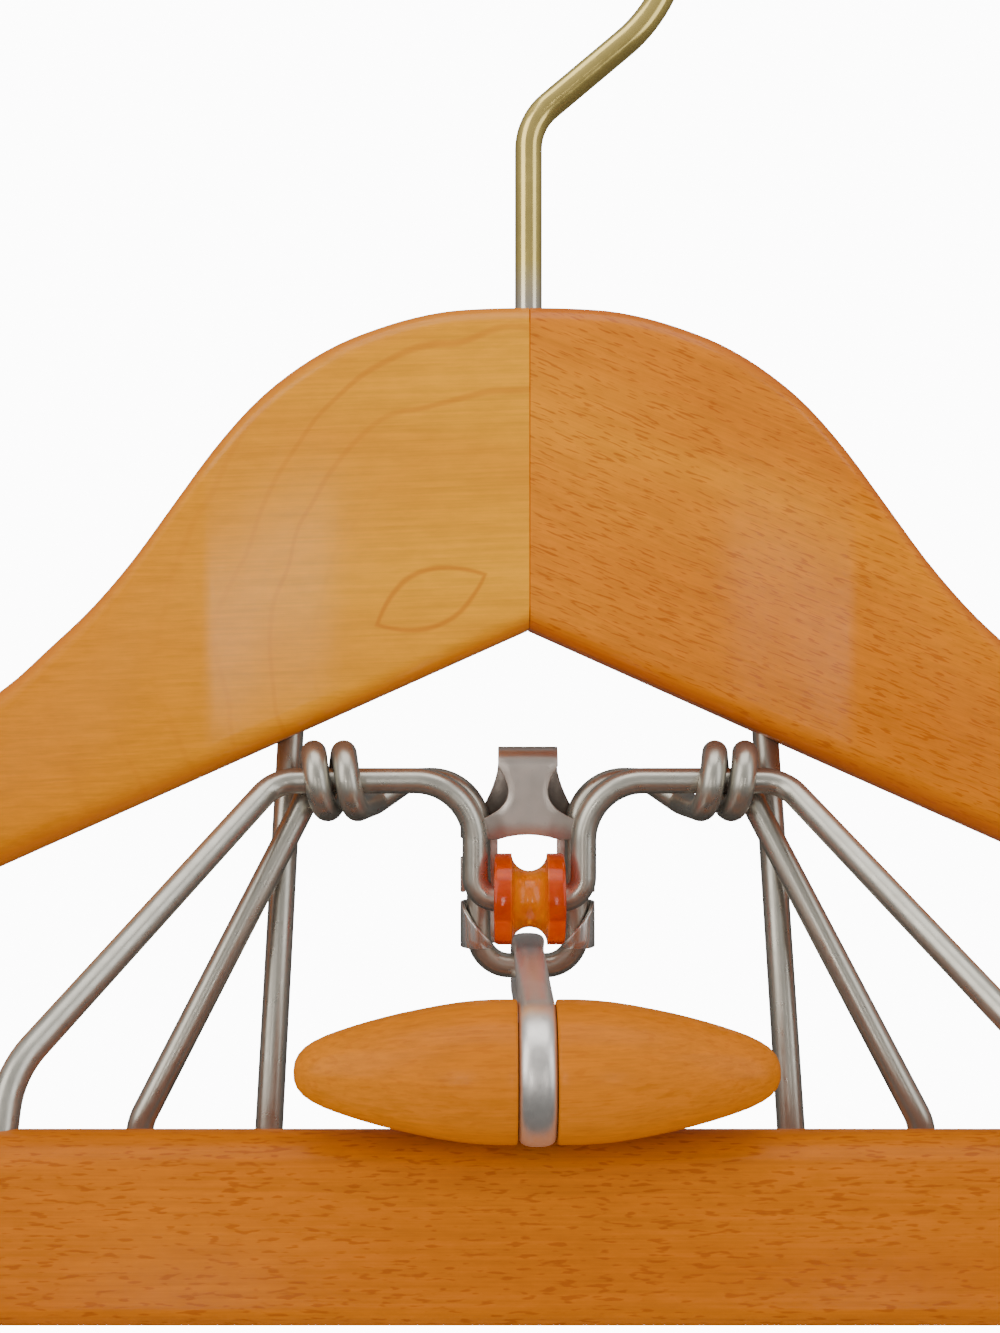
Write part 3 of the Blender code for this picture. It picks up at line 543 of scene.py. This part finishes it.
maple = lacquered_wood("left_maple", ((0.84, 0.350, 0.003), (0.77, 0.300, 0.001), (0.66, 0.208, 0.0)),
                       math.radians(2), figure=maple_figure, outer_share=0.9, edge_shade_share=0.75,
                       coat=0.50, coat_past_flat=0.06)
beech = lacquered_wood("right_beech", ((0.76, 0.262, 0.001), (0.66, 0.190, 0.001), (0.54, 0.134, 0.0)),
                       math.radians(-22), fleck=(420, 1500, 3400), fleck_share=0.52,
                       outer_share=0.3, edge_shade_share=0.75, coat=0.45, coat_past_flat=0.06)
shank_hole = ((0, 0, WOOD_TOP - SHANK_IN_WOOD - HOLE_ROOM), (0, 0, WOOD_TOP + DRILL_PAST),
              HOOK_WIRE / 2 + HOLE_ROOM)
for side, node, finish, slot in ((-1, "left_shoulder", maple, "left_wood"),
                                 (1, "right_shoulder", beech, "right_wood")):
    top, foot, upward = leg_line(side)
    leg_hole = (top + upward * HOLE_ROOM, top - upward * (LEG_IN_WOOD + DRILL_PAST),
                LEG_ROD / 2 + HOLE_ROOM)
    finished_piece(node + "_wood", shaped_along(shoulder_rings(side)), finish, "hanger", node,
                   holes=(shank_hole, leg_hole))

# Legs: two straight rods of bright plated steel, 3.7 mm, pushed into drilled holes in the
# underside of the wood and in the crest of the rear bar.
leg_nickel = plated_metal("leg_nickel", (0.50, 0.475, 0.405), (0.38, 0.355, 0.295), 0.31)
for side, leg in ((-1, "left_leg"), (1, "right_leg")):
    top, foot, upward = leg_line(side)
    drawn_wire(leg, [foot, foot.lerp(top, 0.5), top], LEG_ROD, leg_nickel, "hanger")

# Rear bar: a strip of beech, 10 mm by 20 mm, with a half-round crest. The legs and the feet
# of the rear wire stand in it; trousers hang over it and the front bar closes on them.
BAR_LENGTH = 0.290
BAR_THICKNESS = 0.010
BAR_HEIGHT = 0.020
BAR_FOOT_ROUND = 0.002
BAR_END_EASE = 0.0018
SPRING_WIRE = 0.0035
REAR_FOOT_X, REAR_FOOT_FORWARD = 0.051, 0.0015


def bar_with_round_crest(crest, turn=0.0, pivot=(0, 0, 0)):
    """A strip along X: a section face, extruded, with its end rims bevelled, then swung."""
    bm = bmesh.new()
    half = BAR_THICKNESS / 2
    section = [(half * math.cos(math.pi * k / 20), -half + half * math.sin(math.pi * k / 20))
               for k in range(21)]
    for centre, quarter in ((BAR_FOOT_ROUND - half, 2), (half - BAR_FOOT_ROUND, 3)):
        for k in range(6):
            angle = math.pi / 2 * (quarter + k / 5)
            section.append((centre + BAR_FOOT_ROUND * math.cos(angle),
                            BAR_FOOT_ROUND - BAR_HEIGHT + BAR_FOOT_ROUND * math.sin(angle)))
    end = bm.faces.new([bm.verts.new((-BAR_LENGTH / 2, crest.y + a, crest.z + b)) for a, b in section])
    grown = bmesh.ops.extrude_face_region(bm, geom=[end])["geom"]
    far = [g for g in grown if isinstance(g, bmesh.types.BMVert)]
    bmesh.ops.translate(bm, verts=far, vec=(BAR_LENGTH, 0, 0))
    rims = [e for e in bm.edges if abs(e.verts[0].co.x - e.verts[1].co.x) < 0.001]
    bmesh.ops.bevel(bm, geom=rims, offset=BAR_END_EASE, offset_type="OFFSET", segments=5, profile=0.5,
                    affect="EDGES", material=-1)
    for place in (-0.1, -0.05, 0.0, 0.05, 0.1):
        bmesh.ops.bisect_plane(bm, geom=bm.verts[:] + bm.edges[:] + bm.faces[:],
                               plane_co=(place, 0, 0), plane_no=(1, 0, 0))
    bmesh.ops.rotate(bm, verts=bm.verts, cent=pivot, matrix=Matrix.Rotation(turn, 3, "X"))
    bmesh.ops.recalc_face_normals(bm, faces=bm.faces)
    return bm


def rear_foot(side, rise):
    return Vector((side * REAR_FOOT_X, REAR_CREST.y - REAR_FOOT_FORWARD, REAR_CREST.z + rise))


bar_beech = lacquered_wood("bar_beech", ((0.52, 0.140, 0.001), (0.46, 0.116, 0.001), (0.38, 0.086, 0.0)),
                           fleck=(480, 2600, 2600), fleck_share=0.45)
bar_holes = []
for side in (-1, 1):
    top, foot, upward = leg_line(side)
    bar_holes.append((foot - upward * HOLE_ROOM, foot + upward * (FOOT_IN_BAR + DRILL_PAST),
                      LEG_ROD / 2 + HOLE_ROOM))
    bar_holes.append((rear_foot(side, -FOOT_IN_BAR - HOLE_ROOM), rear_foot(side, DRILL_PAST),
                      SPRING_WIRE / 2 + HOLE_ROOM))
finished_piece("rear_bar_wood", bar_with_round_crest(REAR_CREST), bar_beech, "hanger", "rear_bar",
               holes=bar_holes)

# Rear spring: one plated spring wire, 3.5 mm, with no joint in it. From a foot in the rear
# bar it rises to a coil round the front wire, crosses to the middle, dips in a deep loop
# behind the roller, and goes back the same way on the other side.
COIL_OUTER_X = -0.0309
COIL_RADIUS = 0.0038
COIL_PITCH = 0.0041
COIL_START = math.radians(50)
COIL_TURN = math.radians(670)
COIL_STEPS = 96
REAR_LOOP = Vector((0, HINGE.y + 0.012, HINGE.z - 0.0277))
UPRIGHT_X = 0.0071


def coil_place(turned):
    angle = COIL_START + turned
    return HINGE + Vector((COIL_OUTER_X + COIL_PITCH * turned / math.tau,
                           COIL_RADIUS * math.sin(angle), -COIL_RADIUS * math.cos(angle)))


def coil_heading(turned):
    angle = COIL_START + turned
    one_turn = math.tau * COIL_RADIUS
    return Vector((COIL_PITCH, one_turn * math.cos(angle), one_turn * math.sin(angle))).normalized()


def mirrored(points):
    return [Vector((-p.x, p.y, p.z)) for p in reversed(points)]


coil = [coil_place(COIL_TURN * k / COIL_STEPS) for k in range(COIL_STEPS + 1)]
arm = bent_route([
    (rear_foot(-1, -FOOT_IN_BAR), 0),
    (rear_foot(-1, 0.0025), 0.006),
    (coil[0] - coil_heading(0) * 0.0016, 0.005),
    (coil[0], 0),
])
loop = bent_route([
    (coil[-1], 0),
    (coil[-1] + coil_heading(COIL_TURN) * 0.0086, 0.0025),
    ((-0.0175, REAR_LOOP.y, HINGE.z - 0.0009), 0.003),
    ((-UPRIGHT_X, REAR_LOOP.y, HINGE.z - 0.0006), 0.0069),
    ((-UPRIGHT_X, REAR_LOOP.y, REAR_LOOP.z), 0.0045),
    (REAR_LOOP, 0),
])
rear_half = arm[:-1] + coil + loop[1:]
rear_nickel = plated_metal("rear_nickel", (0.50, 0.475, 0.405), (0.38, 0.355, 0.295), 0.31)
drawn_wire("rear_spring", rear_half + mirrored(rear_half[:-1]), SPRING_WIRE, rear_nickel, "hanger")

# Saddle clip: one pressing of 0.6 mm plated sheet. A narrow leaf in front flares to an arched
# band; over a fold, a wide leaf behind has a window. Band, ears and tabs are rolled round the
# two uprights of the rear loop, and the lower tabs are rubbed bright.
SHEET = 0.0006
ROLL_RADIUS = 0.00235
NECK_HALF = 0.00285
FOLD_HALF = 0.0043
BAND_ARCH = 0.0007
# Each pair: share of the way down from the neck to the band, and of the widening to it.
FLARE = ((0.12, 0.01), (0.24, 0.03), (0.36, 0.08), (0.48, 0.16),
         (0.60, 0.28), (0.70, 0.42), (0.80, 0.60), (0.90, 0.80))
INNER = FOLD_HALF / UPRIGHT_X
COLUMNS = [-1] + [INNER * k / 3 for k in range(-3, 4)] + [1]
BAND_ROLL, EAR_ROLL, TAB_ROLL, TAB_ROLL_MORE = 100, 112, 105, 28
ROLL_STEPS = 20


def part_way(first, last, share):
    return first + (last - first) * share


front_y, rear_y = REAR_LOOP.y - ROLL_RADIUS, REAR_LOOP.y + ROLL_RADIUS
fold_z = HINGE.z + 0.0040 - SHEET / 2 - ROLL_RADIUS
neck_z, band_z, wide_z = HINGE.z - 0.0020, HINGE.z - 0.0066, HINGE.z - 0.0060
# Each row across the sheet: y, z and half width, from the band up, over the fold and down behind.
clip_rows = [(front_y, HINGE.z - 0.0092, UPRIGHT_X), (front_y, band_z, UPRIGHT_X)]
for down, wider in reversed(FLARE):
    clip_rows.append((front_y, part_way(neck_z, band_z, down), part_way(NECK_HALF, UPRIGHT_X, wider)))
for up in (0, 0.25, 0.5, 0.75):
    clip_rows.append((front_y, part_way(neck_z, fold_z, up), part_way(NECK_HALF, FOLD_HALF, up ** 1.5)))
for k in range(15):
    angle = math.pi * k / 14
    clip_rows.append((REAR_LOOP.y - ROLL_RADIUS * math.cos(angle), fold_z + ROLL_RADIUS * math.sin(angle),
                      FOLD_HALF))
for down in (0.15, 0.3, 0.45, 0.6, 0.7, 0.8, 0.9):
    clip_rows.append((rear_y, part_way(fold_z, wide_z, down), part_way(FOLD_HALF, UPRIGHT_X, down ** 1.6)))
clip_rows += [(rear_y, wide_z, UPRIGHT_X), (rear_y, HINGE.z - 0.0076, UPRIGHT_X)]
strip_rows = [(rear_y, HINGE.z - drop, UPRIGHT_X)
              for drop in (0.0120, 0.0170, 0.0184, 0.0197, 0.0210, 0.0223, 0.0236, 0.0249)]


def row_places(row):
    y, z, half = row
    return [Vector((half * share, y, z)) for share in COLUMNS]


bm = bmesh.new()
row = [bm.verts.new(p) for p in row_places(clip_rows[0])]
for vert, share in zip(row, COLUMNS):
    vert.co.z += BAND_ARCH * max(0, 1 - (share / INNER) ** 2)
rows = [row]
edges = [bm.edges.new(pair) for pair in zip(row, row[1:])]
for places in clip_rows[1:]:
    edges, row = extrude_on(bm, edges, row, row_places(places))
    edges.sort(key=lambda e: e.verts[0].co.x + e.verts[1].co.x)
    rows.append(row)
# Past the window's top only the two outer columns go on down, as strips.
for side, end, inner_end, edge in ((-1, 0, 1, edges[0]), (1, -1, -2, edges[-1])):
    strip_row = [row[end], row[inner_end]]
    strip = []
    for places in strip_rows:
        spots = row_places(places)
        made, strip_row = extrude_on(bm, [edge], strip_row, [spots[end], spots[inner_end]])
        edge = made[0]
        strip.append(strip_row[0])
    band, ear, tab = [rows[1][end], rows[0][end]], strip[:2], strip[2:]
    for lip_row, rolls, behind in ((band, [BAND_ROLL] * 2, -1), (ear, [EAR_ROLL] * 2, 1),
                                   (tab, [TAB_ROLL + TAB_ROLL_MORE * k for k in range(len(tab))], 1)):
        lip = [bm.edges.get(pair) for pair in zip(lip_row, lip_row[1:])]
        heights = [vert.co.z for vert in lip_row]
        for step in range(1, ROLL_STEPS + 1):
            spots = []
            for roll, z in zip(rolls, heights):
                angle = math.radians(roll * step / ROLL_STEPS)
                spots.append(Vector((side * (UPRIGHT_X + ROLL_RADIUS * math.sin(angle)),
                                     REAR_LOOP.y + behind * ROLL_RADIUS * math.cos(angle), z)))
            lip, lip_row = extrude_on(bm, lip, lip_row, spots)
bmesh.ops.recalc_face_normals(bm, faces=bm.faces)

clip_plate = plated_metal("clip_plate", (0.62, 0.55, 0.49), (0.44, 0.38, 0.33), 0.34)
tree = clip_plate.node_tree
shader = tree.nodes["Principled BSDF"]
where = put(tree, "ShaderNodeTexCoord").outputs["Object"]
level = along_axis(tree, where, "Z")
rubbed = span(tree, level, HINGE.z - 0.0165, HINGE.z - 0.0185, 0.0, 1.0)
plain_rough = shader.inputs["Roughness"].links[0].from_socket
tree.links.new(between(tree, rubbed, plain_rough, 0.20), shader.inputs["Roughness"])
plain_colour = shader.inputs["Base Color"].links[0].from_socket
colour = blend(tree, rubbed, plain_colour, (0.74, 0.70, 0.65))
# Painted shade: the rear leaf, above its strips, is darkened nearly to black to stand for the shade in the
# gap between the two leaves.
behind = span(tree, along_axis(tree, where, "Y"), REAR_LOOP.y - 0.0005, REAR_LOOP.y + 0.0012, 0.0, 1.0)
shade_in_fold = span(tree, level, HINGE.z - 0.0105, HINGE.z - 0.0080, 0.0, 0.8)
colour = blend(tree, maths(tree, "MULTIPLY", behind, shade_in_fold), colour, (0.15, 0.12, 0.10))
tree.links.new(colour, shader.inputs["Base Color"])
clip = finished_piece("saddle_clip_sheet", bm, clip_plate, "hanger", "saddle_clip")
wall = clip.modifiers.new("sheet", "SOLIDIFY")
wall.thickness = SHEET
wall.offset = 0
wall.use_even_offset = True
rim = clip.modifiers.new("rim", "BEVEL")
rim.width = 0.00012
rim.segments = 2
rim.limit_method = "ANGLE"
rim.angle_limit = math.radians(60)

# Front frame: one plated spring wire, 3.5 mm. From a foot in the front bar it runs up and
# back to the hinge line, through both coils, and dips in a short loop whose bottom run is
# the roller's axle. It swings in the coils and carries the front bar.
CLAMP_OPEN = math.radians(22)
FRONT_CREST_SHUT = Vector((0, -0.0178, -0.0465))
FRONT_FOOT_X = 0.060
FRONT_LOOP_X = 0.0074
OPENING = Matrix.Rotation(-CLAMP_OPEN, 3, "X")
AXLE = HINGE - Vector((0, 0, 0.0161))


def front_foot(side, rise):
    return HINGE + OPENING @ (FRONT_CREST_SHUT + Vector((side * FRONT_FOOT_X, 0, rise)))


front_left = [
    (front_foot(-1, -FOOT_IN_BAR), 0),
    (front_foot(-1, 0.006), 0.012),
    (HINGE - Vector((0.0346, 0, 0)), 0.005),
    (HINGE - Vector((FRONT_LOOP_X, 0, 0)), 0.0082),
    (AXLE - Vector((FRONT_LOOP_X, 0, 0)), 0.003),
]
front_right = [(Vector((-p.x, p.y, p.z)), bend) for p, bend in reversed(front_left)]
front_nickel = plated_metal("front_nickel", (0.53, 0.505, 0.435), (0.40, 0.380, 0.320), 0.30)
drawn_wire("front_frame", bent_route(front_left + front_right), SPRING_WIRE, front_nickel, "front_clamp")

# Front bar: the same strip of beech, on the feet of the front wire, swung forward while the
# clamp is open.
front_bar_beech = lacquered_wood("front_bar_beech",
                                 ((0.54, 0.146, 0.001), (0.48, 0.122, 0.001), (0.40, 0.090, 0.0)),
                                 fleck=(480, 2600, 2600), fleck_share=0.45)
front_holes = [(front_foot(side, -FOOT_IN_BAR - HOLE_ROOM), front_foot(side, DRILL_PAST),
                SPRING_WIRE / 2 + HOLE_ROOM) for side in (-1, 1)]
finished_piece("front_bar_wood", bar_with_round_crest(HINGE + FRONT_CREST_SHUT, -CLAMP_OPEN, HINGE),
               front_bar_beech, "front_clamp", "front_bar", holes=front_holes)

# Roller: a small bobbin of clear amber plastic, turning on the front wire's bottom run. Its
# round groove takes the handle's strap; its two flanges look redder, being solid.
ROLLER_RADIUS = 0.00615
ROLLER_WAIST = 0.0038
ROLLER_BORE = 0.00205
ROLLER_HALF = 0.0048
GROOVE_HALF = 0.0024


def turned_body(outline, centre, bored=False):
    """A body spun round X from its outline, as (along, out) pairs; bored has a straight bore."""
    bm = bmesh.new()
    row = [bm.verts.new((x, centre.y, centre.z + r)) for x, r in outline]
    edges = [bm.edges.new(pair) for pair in zip(row, row[1:])]
    if bored:
        edges.append(bm.edges.new((row[-1], row[0])))
    bmesh.ops.spin(bm, geom=row + edges, cent=centre, axis=(1, 0, 0), dvec=(0, 0, 0), angle=math.tau,
                   steps=64, use_merge=True)
    bmesh.ops.remove_doubles(bm, verts=bm.verts, dist=0.000001)
    bmesh.ops.recalc_face_normals(bm, faces=bm.faces)
    return bm


roller_half = [(0.0, ROLLER_WAIST)]
roller_half += [(GROOVE_HALF * math.sin(t), ROLLER_RADIUS - (ROLLER_RADIUS - ROLLER_WAIST) * math.cos(t))
                for t in map(math.radians, range(9, 91, 9))]
roller_half += [(0.0043, ROLLER_RADIUS), (0.00465, 0.0060), (ROLLER_HALF, 0.00565),
                (ROLLER_HALF, ROLLER_BORE)]
roller_line = [(-x, r) for x, r in reversed(roller_half[1:])] + roller_half

amber = bpy.data.materials.new("roller_amber")
amber.use_nodes = True
tree = amber.node_tree
shader = tree.nodes["Principled BSDF"]
where = put(tree, "ShaderNodeTexCoord").outputs["Object"]
off_middle = maths(tree, "ABSOLUTE", along_axis(tree, where, "X"))
in_flange = span(tree, off_middle, 0.0019, 0.0027, 0.0, 1.0)
swirl = noise(tree, where, 420.0, 3.0, Distortion=0.8)
waist_tone = ramp(tree, swirl, [(0.35, (0.88, 0.22, 0.001)), (0.65, (0.95, 0.30, 0.001))])
flange_tone = ramp(tree, swirl, [(0.35, (0.62, 0.052, 0.0)), (0.65, (0.72, 0.082, 0.0))])
tree.links.new(blend(tree, in_flange, waist_tone, flange_tone), shader.inputs["Base Color"])
tree.links.new(span(tree, swirl, 0.3, 0.7, 0.08, 0.20), shader.inputs["Roughness"])
shader.inputs["IOR"].default_value = 1.49
shader.inputs["Specular IOR Level"].default_value = 0.15
shader.inputs["Transmission Weight"].default_value = 0.5
finished_piece("roller_bobbin", turned_body(roller_line, AXLE, bored=True), amber, "roller", "roller")

# Handle ring: a long closed strap of plated steel, 4.1 mm wide, edges rounded. Its small bow
# hangs on the bottom of the rear loop, and its large bow holds the grip's waist.
RING_LENGTH = 0.052
SMALL_BOW, LARGE_BOW = 0.00335, 0.0065
STRAP_HALF_WIDTH, STRAP_HALF_THICKNESS = 0.00205, 0.0013
BOW_EXTRA_HALF_WIDTH = 0.0004
BOW_NARROWS_OVER = 0.0080
STRAP_OFF_CREST = 0.0066

slant = math.asin((LARGE_BOW - SMALL_BOW) / RING_LENGTH)
bar_crest = HINGE + OPENING @ (FRONT_CREST_SHUT - Vector((0, 0, BAR_THICKNESS / 2))) - REAR_LOOP
lean = (math.atan2(-bar_crest.y, -bar_crest.z) + slant
        + math.asin((SMALL_BOW + STRAP_OFF_CREST) / bar_crest.length))


def bow(radius, drop, middle, half_turn, steps):
    """One arc of the strap's line, seen from the side, about the middle of its turn."""
    angles = [middle + half_turn * (1 - k / steps) for k in range(2 * steps + 1)]
    return [Vector((radius * math.cos(t), radius * math.sin(t) - drop)) for t in angles]


small_bow = bow(SMALL_BOW, 0, math.pi / 2, math.pi / 2 - slant, 14)
large_bow = bow(LARGE_BOW, RING_LENGTH, -math.pi / 2, math.pi / 2 + slant, 18)
past_bow = BOW_NARROWS_OVER / RING_LENGTH
strap_line = small_bow + [small_bow[-1].lerp(large_bow[0], past_bow)] + large_bow
strap_line.append(small_bow[0].lerp(large_bow[-1], past_bow))


def oval_section(half_width, half_height, steps=32):
    """A crowned strap's section, fuller than an ellipse."""
    points = []
    for k in range(steps):
        across, up = math.cos(math.tau * k / steps), math.sin(math.tau * k / steps)
        points.append((math.copysign(half_width * abs(across) ** 0.75, across),
                       math.copysign(half_height * abs(up) ** 0.75, up)))
    return points


strap_rings = []
for k, here in enumerate(strap_line):
    heading = (strap_line[(k + 1) % len(strap_line)] - strap_line[k - 1]).normalized()
    in_bow = min(1, max(0, 1 + here.y / BOW_NARROWS_OVER))
    section = oval_section(STRAP_HALF_WIDTH + BOW_EXTRA_HALF_WIDTH * in_bow, STRAP_HALF_THICKNESS)
    strap_rings.append([(x, REAR_LOOP.y + here.x + heading.y * rise,
                         REAR_LOOP.z + here.y - heading.x * rise) for x, rise in section])
bm = shaped_along(strap_rings, closed=True)
bmesh.ops.rotate(bm, verts=bm.verts, cent=REAR_LOOP, matrix=Matrix.Rotation(-lean, 3, "X"))
strap_nickel = plated_metal("strap_nickel", (0.84, 0.80, 0.75), (0.68, 0.64, 0.59), 0.34,
                            draw_scale=(1500, 70, 1500))
finished_piece("handle_ring_strap", bm, strap_nickel, "handle_ring", "handle_ring")

# Grip: a spindle turned from beech, 53 mm long, lacquered, with a waist cut in its middle
# where the strap goes round it. Its ends are blunt points.
GRIP_HALF_LENGTH = 0.0264
GRIP_RADIUS = 0.0076
WAIST_HALF, WAIST_RADIUS = 0.00210, 0.0051
# Each pair: share of the half length and of the radius.
GRIP_LINE = ((0.17, 1.0), (0.25, 0.985), (0.32, 0.960), (0.40, 0.918), (0.48, 0.866), (0.56, 0.810),
             (0.63, 0.752), (0.70, 0.688), (0.76, 0.627), (0.82, 0.560), (0.87, 0.497), (0.92, 0.415),
             (0.955, 0.335), (0.98, 0.240), (0.993, 0.145), (1.0, 0.0))

grip_centre = REAR_LOOP - RING_LENGTH * Vector((0, math.sin(lean), math.cos(lean)))
grip_half = [(WAIST_HALF, WAIST_RADIUS), (WAIST_HALF, 0.00735), (0.00220, 0.00752), (0.0024, GRIP_RADIUS)]
grip_half += [(x * GRIP_HALF_LENGTH, r * GRIP_RADIUS) for x, r in GRIP_LINE]
grip_line = [(-x, r) for x, r in reversed(grip_half)] + grip_half
grip_beech = lacquered_wood("grip_beech", ((0.62, 0.184, 0.001), (0.57, 0.154, 0.001), (0.50, 0.122, 0.0)),
                            math.radians(2), fleck=(420, 2400, 2400), fleck_share=0.16)
finished_piece("grip_spindle", turned_body(grip_line, grip_centre), grip_beech, "grip", "grip")
